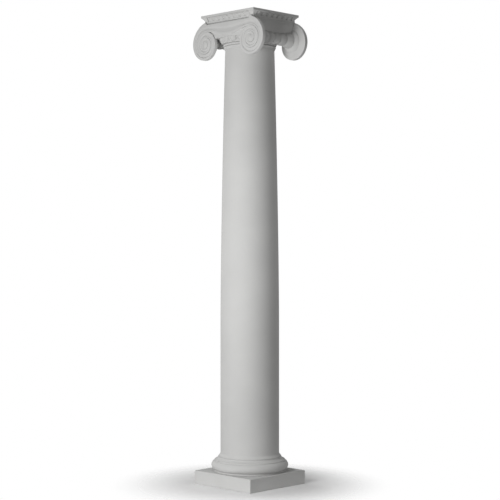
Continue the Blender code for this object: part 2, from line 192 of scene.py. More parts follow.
def cove(low_radius, low_level, high_radius, high_level, count):
    """Points of a hollow quarter curve from its narrow top down to its wide foot."""
    points = []
    for share in np.linspace(1, 0, count):
        radius = high_radius + (low_radius - high_radius) * (1 - math.sin(share * math.pi / 2))
        points.append((radius, low_level + (high_level - low_level) * share))
    return points


def turned_mesh(profile, steps):
    """A closed turned body: the profile runs down its outer side, and both ends are closed by a fan."""
    angles = np.arange(steps) * math.tau / steps
    points = []
    for radius, level in profile:
        points += [(radius * math.cos(a), radius * math.sin(a), level) for a in angles]
    faces = []
    for row in range(len(profile) - 1):
        for i in range(steps):
            j = (i + 1) % steps
            high, low = row * steps, (row + 1) * steps
            faces.append((low + i, low + j, high + j, high + i))
    top = len(points)
    points += [(0.0, 0.0, profile[0][1]), (0.0, 0.0, profile[-1][1])]
    last = (len(profile) - 1) * steps
    for i in range(steps):
        j = (i + 1) % steps
        faces.append((top, i, j))
        faces.append((top + 1, last + j, last + i))
    mesh = bpy.data.meshes.new("turned")
    mesh.from_pydata(points, [], faces)
    return mesh


def soften(mesh, degrees=32):
    mesh.shade_smooth()
    mesh.set_sharp_from_angle(angle=math.radians(degrees))
    return mesh


base_profile = arc(COVE_TOP_RADIUS - FINE_ARRIS, BASE_TOP - FINE_ARRIS, FINE_ARRIS, 90, 0, 4)
base_profile += cove(BASE_FILLET_RADIUS, COVE_LEVEL, COVE_TOP_RADIUS, COVE_LEVEL + COVE_HEIGHT, 14)
base_profile += arc(BASE_FILLET_RADIUS - FINE_ARRIS, COVE_LEVEL - FINE_ARRIS, FINE_ARRIS, 45, 0, 3)
torus_angles = (math.degrees(TORUS_SHOULDER), TORUS_FOOT_ANGLE)
base_profile += arc(TORUS_CENTRE, TORUS_LEVEL, TORUS_ROUND, *torus_angles, 34)
base_profile += arc(BASE_FOOT_RADIUS - FINE_ARRIS, BASE_BOTTOM + FINE_ARRIS, FINE_ARRIS, 0, -90, 4)
new_piece(
    "base_ring",
    soften(turned_mesh(base_profile, TURNED_STEPS)),
    stone("base stone", (0.61, 0.61, 0.602), cloud_scale=8.0, seed=4.3),
    "base_moulding",
)


# Shaft
# The real shaft is one plain round piece of cast stone, straight for its lower third and tapering above in a
# gentle curve, with a foot fillet and a small hollow curve. It stands in mortar on the base moulding.
SHAFT_BOTTOM = BASE_TOP + JOINT
SHAFT_LENGTH = 2.1108
SHAFT_RADIUS = 0.1527
SHAFT_NECK_RADIUS = 0.1284


def tree_math(tree, operation, *values):
    """One math node of a tree. A value is a number or another node's output."""
    node = tree.nodes.new("ShaderNodeMath")
    node.operation = operation
    for socket, value in zip(node.inputs, values):
        if isinstance(value, (int, float)):
            socket.default_value = value
        else:
            tree.links.new(value, socket)
    return node.outputs["Value"]


def new_tree(name, sizes):
    """A geometry tree with one named input for each size, given as name and socket type."""
    tree = bpy.data.node_groups.new(name, "GeometryNodeTree")
    tree.interface.new_socket("Geometry", in_out="INPUT", socket_type="NodeSocketGeometry")
    for label, kind in sizes:
        tree.interface.new_socket(label, in_out="INPUT", socket_type=kind)
    tree.interface.new_socket("Geometry", in_out="OUTPUT", socket_type="NodeSocketGeometry")
    return tree, tree.nodes.new("NodeGroupInput"), tree.nodes.new("NodeGroupOutput")


def finish_tree(tree, geometry, given, output):
    """End a tree in Realize Instances and Set Material."""
    real = tree.nodes.new("GeometryNodeRealizeInstances")
    painted = tree.nodes.new("GeometryNodeSetMaterial")
    tree.links.new(geometry, real.inputs["Geometry"])
    tree.links.new(real.outputs["Geometry"], painted.inputs["Geometry"])
    tree.links.new(given.outputs["Material"], painted.inputs["Material"])
    tree.links.new(painted.outputs["Geometry"], output.inputs["Geometry"])


def grown_mesh(tree, values):
    """Run a tree with its inputs set, and return the result as a plain mesh."""
    holder = bpy.data.objects.new("holder", bpy.data.meshes.new("holder"))
    bpy.context.scene.collection.objects.link(holder)
    modifier = holder.modifiers.new("tree", "NODES")
    modifier.node_group = tree
    for item in tree.interface.items_tree:
        if item.in_out == "INPUT" and item.name in values:
            modifier[item.identifier] = values[item.name]
    graph = bpy.context.evaluated_depsgraph_get()
    mesh = bpy.data.meshes.new_from_object(holder.evaluated_get(graph))
    holder.modifiers.remove(modifier)
    bpy.data.objects.remove(holder, do_unlink=True)
    return mesh


def shaft_tree():
    """Fine cylinder whose radius follows the rule of the shaft, with more rows near its foot."""
    number = "NodeSocketFloat"
    sizes = [("Bottom", number), ("Length", number), ("Lower radius", number), ("Neck radius", number)]
    sizes += [("Straight share", number), ("Taper power", number), ("Foot overhang", number)]
    sizes += [("Foot height", number), ("Hollow height", number), ("Arris", number)]
    sizes += [("Sides", "NodeSocketInt"), ("Rows", "NodeSocketInt"), ("Material", "NodeSocketMaterial")]
    tree, given, output = new_tree("shaft rule", sizes)
    size = given.outputs
    cylinder = tree.nodes.new("GeometryNodeMeshCylinder")
    cylinder.fill_type = "TRIANGLE_FAN"
    cylinder.inputs["Radius"].default_value = 1.0
    cylinder.inputs["Depth"].default_value = 1.0
    tree.links.new(size["Sides"], cylinder.inputs["Vertices"])
    tree.links.new(size["Rows"], cylinder.inputs["Side Segments"])
    place = tree.nodes.new("GeometryNodeInputPosition")
    parts = tree.nodes.new("ShaderNodeSeparateXYZ")
    tree.links.new(place.outputs["Position"], parts.inputs["Vector"])
    share = tree_math(tree, "POWER", tree_math(tree, "ADD", parts.outputs["Z"], 0.5), 3.0)
    height = tree_math(tree, "MULTIPLY", share, size["Length"])
    above = tree_math(tree, "SUBTRACT", share, size["Straight share"])
    above = tree_math(tree, "DIVIDE", above, tree_math(tree, "SUBTRACT", 1.0, size["Straight share"]))
    above = tree_math(tree, "POWER", tree_math(tree, "MAXIMUM", above, 0.0), size["Taper power"])
    taper = tree_math(tree, "SUBTRACT", size["Lower radius"], size["Neck radius"])
    radius = tree_math(tree, "SUBTRACT", size["Lower radius"], tree_math(tree, "MULTIPLY", taper, above))
    hollow = tree_math(tree, "SUBTRACT", height, size["Foot height"])
    hollow = tree_math(tree, "DIVIDE", hollow, size["Hollow height"])
    hollow = tree_math(tree, "MINIMUM", tree_math(tree, "MAXIMUM", hollow, 0.0), 1.0)
    hollow = tree_math(tree, "SINE", tree_math(tree, "MULTIPLY", hollow, math.pi / 2))
    swell = tree_math(tree, "MULTIPLY", tree_math(tree, "SUBTRACT", 1.0, hollow), size["Foot overhang"])
    radius = tree_math(tree, "ADD", radius, swell)
    edge = tree_math(tree, "SUBTRACT", 1.0, tree_math(tree, "DIVIDE", height, size["Arris"]))
    edge = tree_math(tree, "POWER", tree_math(tree, "MAXIMUM", edge, 0.0), 2.0)
    radius = tree_math(tree, "SUBTRACT", radius, tree_math(tree, "MULTIPLY", edge, size["Arris"]))
    put = tree.nodes.new("ShaderNodeCombineXYZ")
    tree.links.new(tree_math(tree, "MULTIPLY", parts.outputs["X"], radius), put.inputs["X"])
    tree.links.new(tree_math(tree, "MULTIPLY", parts.outputs["Y"], radius), put.inputs["Y"])
    tree.links.new(tree_math(tree, "ADD", height, size["Bottom"]), put.inputs["Z"])
    moved = tree.nodes.new("GeometryNodeSetPosition")
    tree.links.new(cylinder.outputs["Mesh"], moved.inputs["Geometry"])
    tree.links.new(put.outputs["Vector"], moved.inputs["Position"])
    finish_tree(tree, moved.outputs["Geometry"], given, output)
    return tree


shaft_stone = stone("shaft stone", (0.62, 0.62, 0.612), cloud_scale=5.0, seed=8.9)
shaft_sizes = {
    "Bottom": SHAFT_BOTTOM,
    "Length": SHAFT_LENGTH,
    "Lower radius": SHAFT_RADIUS,
    "Neck radius": SHAFT_NECK_RADIUS,
    "Straight share": 1 / 3,
    "Taper power": 1.5,
    "Foot overhang": 0.0089,
    "Foot height": 0.0037,
    "Hollow height": 0.016,
    "Arris": 0.0008,
    "Sides": TURNED_STEPS,
    "Rows": 120,
    "Material": shaft_stone,
}
shaft_mesh = soften(grown_mesh(shaft_tree(), shaft_sizes))
new_piece("shaft_drum", shaft_mesh, shaft_stone, "shaft")


# Capital
# The real capital is carved, or cast from a carved model, as one block of the same stone: astragal,
# echinus with eggs and darts, two scroll faces with their volutes, two ribbed bolsters and a moulded
# abacus. It beds on the shaft in mortar.
CAPITAL_BOTTOM = SHAFT_BOTTOM + SHAFT_LENGTH + JOINT
NECK_OVERHANG = 0.003
NECK_FILLET_HEIGHT = 0.005
NECK_RADIUS = SHAFT_NECK_RADIUS + NECK_OVERHANG
LOWER_BEAD_OVERHANG = 0.0075
LOWER_BEAD = 0.012
LOWER_BEAD_RADIUS = SHAFT_NECK_RADIUS + LOWER_BEAD_OVERHANG
LOWER_BEAD_LEVEL = CAPITAL_BOTTOM + NECK_FILLET_HEIGHT
UPPER_BEAD_OVERHANG = 0.0100
UPPER_BEAD = 0.011
UPPER_BEAD_RADIUS = SHAFT_NECK_RADIUS + UPPER_BEAD_OVERHANG
UPPER_BEAD_LEVEL = LOWER_BEAD_LEVEL + LOWER_BEAD
ASTRAGAL_TOP = UPPER_BEAD_LEVEL + UPPER_BEAD
ECHINUS_GROOVE = 0.002
EGG_BAND_LEVEL = ASTRAGAL_TOP + ECHINUS_GROOVE
EGG_BAND_HEIGHT = 0.0271
EGG_BAND_FOOT_RADIUS = 0.149
EGG_BAND_TOP_RADIUS = 0.161
EGG_BAND_SINK = 0.004
EGG_COUNT = 20
EGG_DEPTH = 0.0075
HOOP_LEVEL = EGG_BAND_LEVEL + EGG_BAND_HEIGHT
HOOP_HEIGHT = 0.021
HOOP_RADIUS = 0.1635
HOOP_TOP = HOOP_LEVEL + HOOP_HEIGHT

# Egg and dart. Half widths are shares of half a unit, half heights and levels are shares of the band
EGG_HALF_WIDTH = 0.56
EGG_HALF_HEIGHT = 0.70
EGG_LEVEL = 0.85
EGG_GROUND = 0.12
SHELL_HALF_WIDTH = 0.92
SHELL_HALF_HEIGHT = 0.88
SHELL_LEVEL = 0.90
SHELL_RISE = 0.70
SHELL_LEAN = 1.6
SHELL_ROUNDNESS = 0.7
SHELL_EDGE = 0.06
DART_HALF_WIDTH = 0.11
DART_FULL_LEVEL = 0.45
DART_STEEPNESS = 0.9
DART_TOP = 0.62

# Scroll faces. VOLUTE_TOP and VOLUTE_END are distances from a volute's eye
FACE_DEPTH = 0.1663
SCROLL_THICKNESS = 0.019
EYE_SPACING = 0.1638
VOLUTE_TOP = 0.1011
VOLUTE_END = 0.0150
VOLUTE_TURNS = 3
VOLUTE_POWER = 1.35
VOLUTE_STEPS = 64
LIST_WIDTH = 0.0115
HEM_WIDTH = 0.0100
CHANNEL_DEPTH = 0.0050
CHANNEL_START = 0.04
CHANNEL_LOWEST = 0.42
CHANNEL_RISE = 0.25
HEM_DEPTH = 0.0015
HEM_FOOT = 0.86
HEM_ROUNDNESS = 0.8
SCROLL_ARRIS = 0.0008
ARRIS_MIDDLE = 0.3
EYE_RADIUS = 0.0180
EYE_BULGE = 0.0095
EYE_SET = 0.004
CANALIS_OVERLAP = 0.01274
CANALIS_SAG = 0.030
CANALIS_STEPS = 64
SHOULDER_RISE = 0.0125
SHOULDER_POWER = 2.2
SHOULDER_TURN = 1 / 6
SHOULDER_RUN = 0.014
FIRST_PITCH = (VOLUTE_TOP - VOLUTE_END) * (1 - (1 - 1 / VOLUTE_TURNS) ** VOLUTE_POWER)
CANALIS_TOP = HOOP_TOP - CANALIS_OVERLAP + CANALIS_SAG + FIRST_PITCH
EYE_LEVEL = CANALIS_TOP - VOLUTE_TOP

# Bolsters between the volutes
BOLSTER_RADIUS = 0.0315
BOLSTER_INSET = 0.006
BOLSTER_RAISE = 0.019
BOLSTER_SINK = 0.006
BOLSTER_STEPS = 80
FLARE_SLOW = 0.22
FLARE_SLOW_POWER = 2
FLARE_FAST = 0.28
FLARE_FAST_POWER = 10
RIB_WIDTH = 0.042
RIB_DEPTH = 0.0065
RIB_STEPS = 14
FLANGE_REACH = 0.96
FLANGE_DISH = 0.0035

# Block and abacus. From ABACUS_EGG_LEVEL to ABACUS_EGG_EDGE the sizes are shares, as for egg and dart
BLOCK_HALF_WIDTH = 0.1735
BLOCK_DROP = 0.002
ABACUS_HALF_WIDTH = 0.1916
ABACUS_HALF_DEPTH = 0.1684
ABACUS_SPREAD = 0.0145
ABACUS_NECK_HEIGHT = 0.009
ABACUS_NECK_INSET = 0.003
ABACUS_FILLET_HEIGHT = 0.0078
ABACUS_FILLET_LEVEL = CANALIS_TOP + ABACUS_NECK_HEIGHT
ABACUS_OVOLO_LEVEL = ABACUS_FILLET_LEVEL + ABACUS_FILLET_HEIGHT
ABACUS_OVOLO_HEIGHT = 0.0205
ABACUS_BAND_HEIGHT = 0.0115
ABACUS_BAND_LEVEL = ABACUS_OVOLO_LEVEL + ABACUS_OVOLO_HEIGHT
COLUMN_HEIGHT = ABACUS_BAND_LEVEL + ABACUS_BAND_HEIGHT
ABACUS_CORNER = 0.037
ABACUS_CORNER_STEP = 0.0005
ABACUS_EGG_SETBACK = 0.0012
ABACUS_EGG_RECESS = 0.0065
ABACUS_EGG_DEPTH = 0.0070
ABACUS_EGG_BACK = 0.012
ABACUS_EGG_LEVEL = 0.30
ABACUS_EGG_FOOT_HALF_WIDTH = 0.80
ABACUS_EGG_HALF_WIDTH = 0.74
ABACUS_EGG_HEIGHT = 0.62
ABACUS_EGG_EDGE = 0.25
ABACUS_FRONT_EGGS = 8
ABACUS_SIDE_EGGS = 7


def core_mesh():
    """Turned middle of the capital: neck fillet, two beads, groove, hoop and the drum above it."""
    upper = UPPER_BEAD / 2
    lower = LOWER_BEAD / 2
    hoop = HOOP_HEIGHT / 2
    drum = HOOP_RADIUS - hoop / 2
    profile = [(drum, (HOOP_TOP + CANALIS_TOP) / 2)]
    profile += arc(HOOP_RADIUS - hoop, HOOP_LEVEL + hoop, hoop, 60, -90, 22)
    profile += [(NECK_RADIUS, HOOP_LEVEL), (NECK_RADIUS, ASTRAGAL_TOP)]
    profile += arc(UPPER_BEAD_RADIUS - upper, UPPER_BEAD_LEVEL + upper, upper, 80, -80, 13)
    profile += arc(LOWER_BEAD_RADIUS - lower, LOWER_BEAD_LEVEL + lower, lower, 80, -80, 13)
    profile += [(NECK_RADIUS, LOWER_BEAD_LEVEL)]
    profile += arc(NECK_RADIUS - FINE_ARRIS, CAPITAL_BOTTOM + FINE_ARRIS, FINE_ARRIS, 0, -90, 4)
    return turned_mesh(profile, TURNED_STEPS)


def egg_relief(place, share):
    """How proud one unit of egg and dart is: place runs from dart to dart, -1 to 1, and share runs up."""
    egg = math.hypot(place / EGG_HALF_WIDTH, (share - EGG_LEVEL) / EGG_HALF_HEIGHT)
    shell = math.hypot(place / SHELL_HALF_WIDTH, (share - SHELL_LEVEL) / SHELL_HALF_HEIGHT)
    if egg < 1:
        return EGG_GROUND + (1 - EGG_GROUND) * math.sqrt(1 - egg * egg)
    if shell < 1:
        across = min(1.0, (egg - 1.0) / (egg - 1.0 + (1.0 - shell) * SHELL_LEAN))
        proud = SHELL_RISE * math.sin(across * math.pi / 2) ** SHELL_ROUNDNESS
        return EGG_GROUND + proud * min(1.0, (1 - shell) / SHELL_EDGE)
    half_width = DART_HALF_WIDTH * min(1.0, share / DART_FULL_LEVEL)
    inside = max(0.0, half_width - abs(1 - abs(place)))
    return min(DART_TOP, inside / DART_HALF_WIDTH * DART_STEEPNESS)


def unit_object(name, surface, columns, rows, back):
    """One repeated unit as a sheet with a back, open only where it meets its neighbours."""
    places = np.linspace(-1, 1, columns + 1)
    shares = np.linspace(0, 1, rows + 1)
    bm = bmesh.new()
    grid = [[bm.verts.new(surface(p, s)) for s in shares] for p in places]
    inner = [[bm.verts.new(back(p, s)) for s in (0.0, 1.0)] for p in places]
    for left, right in zip(grid, grid[1:]):
        for k in range(rows):
            bm.faces.new((left[k], right[k], right[k + 1], left[k + 1]))
    for i in range(columns):
        bm.faces.new((grid[i][0], inner[i][0], inner[i + 1][0], grid[i + 1][0]))
        bm.faces.new((grid[i][-1], grid[i + 1][-1], inner[i + 1][1], inner[i][1]))
        bm.faces.new((inner[i][0], inner[i][1], inner[i + 1][1], inner[i + 1][0]))
    mesh = bpy.data.meshes.new(name)
    bm.to_mesh(mesh)
    bm.free()
    return bpy.data.objects.new(name, mesh)


WELD_DISTANCE = 0.00002


def merged(tree, geometry):
    """Make the instances real and weld each unit to its neighbours."""
    real = tree.nodes.new("GeometryNodeRealizeInstances")
    weld = tree.nodes.new("GeometryNodeMergeByDistance")
    weld.inputs["Distance"].default_value = WELD_DISTANCE
    tree.links.new(geometry, real.inputs["Geometry"])
    tree.links.new(real.outputs["Geometry"], weld.inputs["Geometry"])
    return weld.outputs["Geometry"]


def ring_tree():
    """Repeat a unit round the axis and weld the units to each other."""
    sizes = [("Unit", "NodeSocketObject"), ("Count", "NodeSocketInt"), ("Material", "NodeSocketMaterial")]
    tree, given, output = new_tree("units round an axis", sizes)
    points = tree.nodes.new("GeometryNodePoints")
    tree.links.new(given.outputs["Count"], points.inputs["Count"])
    source = tree.nodes.new("GeometryNodeObjectInfo")
    tree.links.new(given.outputs["Unit"], source.inputs["Object"])
    index = tree.nodes.new("GeometryNodeInputIndex")
    turn = tree_math(tree, "DIVIDE", index.outputs["Index"], given.outputs["Count"])
    turn = tree_math(tree, "MULTIPLY", turn, math.tau)
    rotation = tree.nodes.new("ShaderNodeCombineXYZ")
    tree.links.new(turn, rotation.inputs["Z"])
    placed = tree.nodes.new("GeometryNodeInstanceOnPoints")
    tree.links.new(points.outputs["Points"], placed.inputs["Points"])
    tree.links.new(source.outputs["Geometry"], placed.inputs["Instance"])
    tree.links.new(rotation.outputs["Vector"], placed.inputs["Rotation"])
    finish_tree(tree, merged(tree, placed.outputs["Instances"]), given, output)
    return tree


def row_tree():
    """Repeat a unit along a straight run, centred on the front, then turn the row to its side."""
    sizes = [("Unit", "NodeSocketObject"), ("Count", "NodeSocketInt"), ("Run", "NodeSocketFloat")]
    sizes += [("Unit width", "NodeSocketFloat"), ("Distance", "NodeSocketFloat")]
    sizes += [("Turn", "NodeSocketFloat"), ("Material", "NodeSocketMaterial")]
    tree, given, output = new_tree("units along a side", sizes)
    size = given.outputs
    points = tree.nodes.new("GeometryNodePoints")
    tree.links.new(size["Count"], points.inputs["Count"])
    index = tree.nodes.new("GeometryNodeInputIndex")
    step = tree_math(tree, "DIVIDE", size["Run"], size["Count"])
    place = tree_math(tree, "MULTIPLY", tree_math(tree, "ADD", index.outputs["Index"], 0.5), step)
    place = tree_math(tree, "SUBTRACT", place, tree_math(tree, "MULTIPLY", size["Run"], 0.5))
    position = tree.nodes.new("ShaderNodeCombineXYZ")
    tree.links.new(place, position.inputs["X"])
    tree.links.new(tree_math(tree, "MULTIPLY", size["Distance"], -1.0), position.inputs["Y"])
    tree.links.new(position.outputs["Vector"], points.inputs["Position"])
    source = tree.nodes.new("GeometryNodeObjectInfo")
    tree.links.new(size["Unit"], source.inputs["Object"])
    scale = tree.nodes.new("ShaderNodeCombineXYZ")
    tree.links.new(tree_math(tree, "DIVIDE", step, size["Unit width"]), scale.inputs["X"])
    scale.inputs["Y"].default_value = 1.0
    scale.inputs["Z"].default_value = 1.0
    placed = tree.nodes.new("GeometryNodeInstanceOnPoints")
    tree.links.new(points.outputs["Points"], placed.inputs["Points"])
    tree.links.new(source.outputs["Geometry"], placed.inputs["Instance"])
    tree.links.new(scale.outputs["Vector"], placed.inputs["Scale"])
    rotation = tree.nodes.new("ShaderNodeCombineXYZ")
    tree.links.new(size["Turn"], rotation.inputs["Z"])
    turned = tree.nodes.new("GeometryNodeTransform")
    tree.links.new(merged(tree, placed.outputs["Instances"]), turned.inputs["Geometry"])
    tree.links.new(rotation.outputs["Vector"], turned.inputs["Rotation"])
    finish_tree(tree, turned.outputs["Geometry"], given, output)
    return tree


def close_ends(mesh):
    bm = bmesh.new()
    bm.from_mesh(mesh)
    bmesh.ops.holes_fill(bm, edges=[edge for edge in bm.edges if edge.is_boundary], sides=0)
    bmesh.ops.recalc_face_normals(bm, faces=bm.faces)
    bm.to_mesh(mesh)
    bm.free()
    return mesh


def egg_ring_mesh(material):
    """Quarter-round ring of eggs and darts, with a dart on the middle of each face."""
    half_angle = math.pi / EGG_COUNT

    def surface(place, share):
        swell = math.sin(share * math.pi / 2)
        radius = EGG_BAND_FOOT_RADIUS + (EGG_BAND_TOP_RADIUS - EGG_BAND_FOOT_RADIUS) * swell
        radius -= EGG_DEPTH * (1 - egg_relief(place, share))
        angle = half_angle * (1 + place) - math.pi / 2
        return (radius * math.cos(angle), radius * math.sin(angle), EGG_BAND_LEVEL + EGG_BAND_HEIGHT * share)

    def back(place, share):
        angle = half_angle * (1 + place) - math.pi / 2
        radius = NECK_RADIUS - EGG_BAND_SINK
        return (radius * math.cos(angle), radius * math.sin(angle), EGG_BAND_LEVEL + EGG_BAND_HEIGHT * share)

    unit = unit_object("echinus unit", surface, columns=30, rows=22, back=back)
    mesh = grown_mesh(ring_tree(), {"Unit": unit, "Count": EGG_COUNT, "Material": material})
    bpy.data.objects.remove(unit, do_unlink=True)
    return close_ends(mesh)


def abacus_egg_meshes(material):
    """Rows of small eggs, widest at their feet, along the quarter-round of the abacus."""
    front_run = 2 * (ABACUS_HALF_WIDTH - ABACUS_CORNER)
    side_run = 2 * (ABACUS_HALF_DEPTH - ABACUS_CORNER)
    width = front_run / ABACUS_FRONT_EGGS

    def surface(place, share):
        if share > ABACUS_EGG_LEVEL:
            egg = math.hypot(place / ABACUS_EGG_HALF_WIDTH, (share - ABACUS_EGG_LEVEL) / ABACUS_EGG_HEIGHT)
        else:
            egg = abs(place) / ABACUS_EGG_FOOT_HALF_WIDTH
        proud = 0.0
        if egg < 1:
            proud = ABACUS_EGG_EDGE + (1 - ABACUS_EGG_EDGE) * math.sqrt(1 - egg * egg)
        drawn = ABACUS_SPREAD * math.cos(share * math.pi / 2) + ABACUS_EGG_DEPTH * (1 - proud)
        return (place * width / 2, drawn, ABACUS_OVOLO_LEVEL + ABACUS_OVOLO_HEIGHT * share)

    def back(place, share):
        level = ABACUS_OVOLO_LEVEL + ABACUS_OVOLO_HEIGHT * share
        return (place * width / 2, ABACUS_SPREAD + ABACUS_EGG_BACK, level)

    unit = unit_object("abacus unit", surface, columns=26, rows=16, back=back)
    rows = row_tree()
    meshes = []
    for quarter in range(4):
        along_front = quarter % 2 == 0
        values = {
            "Unit": unit,
            "Count": ABACUS_FRONT_EGGS if along_front else ABACUS_SIDE_EGGS,
            "Run": front_run if along_front else side_run,
            "Unit width": width,
            "Distance": ABACUS_HALF_DEPTH if along_front else ABACUS_HALF_WIDTH,
            "Turn": quarter * math.pi / 2,
            "Material": material,
        }
        meshes.append(close_ends(grown_mesh(rows, values)))
    bpy.data.objects.remove(unit, do_unlink=True)
    return meshes


def volute_radius(turn):
    """Distance from the eye to the outer edge of the scroll after so many turns from its top."""
    left = max(0.0, 1 - turn / VOLUTE_TURNS)
    return VOLUTE_END + (VOLUTE_TOP - VOLUTE_END) * left**VOLUTE_POWER


def shoulder(share):
    """How far the scroll's outer edge rises towards the abacus, over a volute's first part of a turn."""
    return SHOULDER_RISE * max(0.0, 1 - share) ** SHOULDER_POWER


def scroll_section(outer, inner, rise=0.0):
    """Across the scroll strip: flat list, hollow channel and rounded hem, as (distance, depth) pairs."""
    scale = (outer - inner) / FIRST_PITCH
    shallow = min(1.0, scale)
    edge = SCROLL_ARRIS * shallow
    channel = CHANNEL_DEPTH * shallow
    list_edge = outer - LIST_WIDTH * scale
    hem = HEM_WIDTH * scale
    hem_start = inner + hem
    top = outer + rise
    middle = ARRIS_MIDDLE * edge
    points = [(top, edge), (top - middle, middle), (top - edge, 0.0), (list_edge + edge, 0.0)]
    for share in np.linspace(CHANNEL_START, 1, 10):
        if share < CHANNEL_LOWEST:
            depth = channel * (1 - math.cos(math.pi * share / CHANNEL_LOWEST)) / 2
        else:
            past = (share - CHANNEL_LOWEST) / (1 - CHANNEL_LOWEST)
            depth = channel * (1 - CHANNEL_RISE * past**2)
        points.append((list_edge + (hem_start - list_edge) * share, depth))
    for angle in np.linspace(0.0, math.pi, 10)[1:]:
        bottom = channel * (HEM_FOOT + (1 - HEM_FOOT) * angle / math.pi)
        depth = bottom - (bottom - HEM_DEPTH * shallow) * math.sin(angle) ** HEM_ROUNDNESS
        points.append((inner + hem * (1 + math.cos(angle)) / 2, depth))
    return points


def canalis_height(x):
    """Height of the strip between the volutes, which sags in a smooth curve to the middle."""
    return FIRST_PITCH + CANALIS_SAG * (1 + math.cos(math.pi * x / EYE_SPACING)) / 2


def add_face(bm, *corners):
    """A face without the corners that fall together."""
    kept = []
    for corner in corners:
        if corner not in kept:
            kept.append(corner)
    if len(kept) > 2:
        bm.faces.new(kept)


def add_volute(bm, side, seam, seam_back):
    """Spiral strip of one volute, wound from the seam with the canalis in to its eye."""

    def vertex(turn, distance, depth):
        x = side * (EYE_SPACING + distance * math.sin(math.tau * turn))
        z = EYE_LEVEL + distance * math.cos(math.tau * turn)
        return bm.verts.new((x, depth - FACE_DEPTH, z))

    steps = VOLUTE_STEPS
    total = steps * VOLUTE_TURNS
    apex = vertex(0, VOLUTE_END, 0.0)
    rows = [seam]
    for k in range(1, total):
        turn = k / steps
        rise = shoulder(turn / SHOULDER_TURN)
        section = scroll_section(volute_radius(turn), volute_radius(turn + 1), rise)
        rows.append([vertex(turn, distance, depth) for distance, depth in section])
    rows.append([apex] * len(seam))
    ring = [apex] + [vertex(i / steps, VOLUTE_END, 0.0) for i in range(1, steps)]
    for k in range(total):
        here, there = rows[k], rows[k + 1]
        for m in range(len(here) - 1):
            add_face(bm, here[m], there[m], there[m + 1], here[m + 1])
        if k + steps < total:
            inner_here = rows[k + steps][0]
            inner_there = rows[k + 1 + steps][0]
        else:
            inner_here = ring[k % steps]
            inner_there = ring[(k + 1) % steps]
        add_face(bm, here[-1], there[-1], inner_there, inner_here)
    bm.faces.new(ring)
    back_top, back_low = seam_back
    backs = [back_top]
    for k in range(1, steps):
        turn = k / steps
        backs.append(vertex(turn, volute_radius(turn) + shoulder(turn / SHOULDER_TURN), SCROLL_THICKNESS))
    backs.append(back_low)
    for k in range(steps - 1):
        add_face(bm, rows[k][0], rows[k + 1][0], backs[k + 1], backs[k])
    add_face(bm, rows[steps - 1][0], rows[steps][0], seam[-1], back_low, backs[steps - 1])
    centre = vertex(0, 0.0, SCROLL_THICKNESS)
    add_face(bm, centre, back_low, back_top, backs[1])
    for k in range(1, steps):
        add_face(bm, centre, backs[k], backs[k + 1])


def scroll_mesh():
    """One face of the capital: two volutes and the canalis between them, as one slab."""
    bm = bmesh.new()
    sections = []
    backs = []
    for x in np.linspace(-EYE_SPACING, EYE_SPACING, CANALIS_STEPS + 1):
        height = canalis_height(x)
        rise = shoulder((EYE_SPACING - abs(x)) / SHOULDER_RUN)
        points = scroll_section(height, 0.0, rise)
        low = CANALIS_TOP - height
        sections.append([bm.verts.new((x, depth - FACE_DEPTH, low + above)) for above, depth in points])
        back = SCROLL_THICKNESS - FACE_DEPTH
        backs.append((bm.verts.new((x, back, CANALIS_TOP + rise)), bm.verts.new((x, back, low))))
    for j in range(CANALIS_STEPS):
        here, there = sections[j], sections[j + 1]
        for m in range(len(here) - 1):
            add_face(bm, here[m], there[m], there[m + 1], here[m + 1])
        add_face(bm, here[0], there[0], backs[j + 1][0], backs[j][0])
        add_face(bm, here[-1], there[-1], backs[j + 1][1], backs[j][1])
        add_face(bm, backs[j][0], backs[j + 1][0], backs[j + 1][1], backs[j][1])
    add_volute(bm, -1, sections[0], backs[0])
    add_volute(bm, 1, sections[-1], backs[-1])
    bmesh.ops.recalc_face_normals(bm, faces=bm.faces)
    mesh = bpy.data.meshes.new("scroll")
    bm.to_mesh(mesh)
    bm.free()
    return mesh


def loft_mesh(rings):
    """A closed body through rings of equal count, capped at both ends."""
    bm = bmesh.new()
    rows = [[bm.verts.new(point) for point in ring] for ring in rings]
    for low, high in zip(rows, rows[1:]):
        for i in range(len(low)):
            j = (i + 1) % len(low)
            bm.faces.new((low[i], low[j], high[j], high[i]))
    bm.faces.new(rows[0])
    bm.faces.new(rows[-1])
    bmesh.ops.recalc_face_normals(bm, faces=bm.faces)
    mesh = bpy.data.meshes.new("loft")
    bm.to_mesh(mesh)
    bm.free()
    return mesh


def flare(share):
    """How far the bolster has opened towards the volute's outline, from waist to scroll."""
    return FLARE_SLOW * share**FLARE_SLOW_POWER + FLARE_FAST * share**FLARE_FAST_POWER


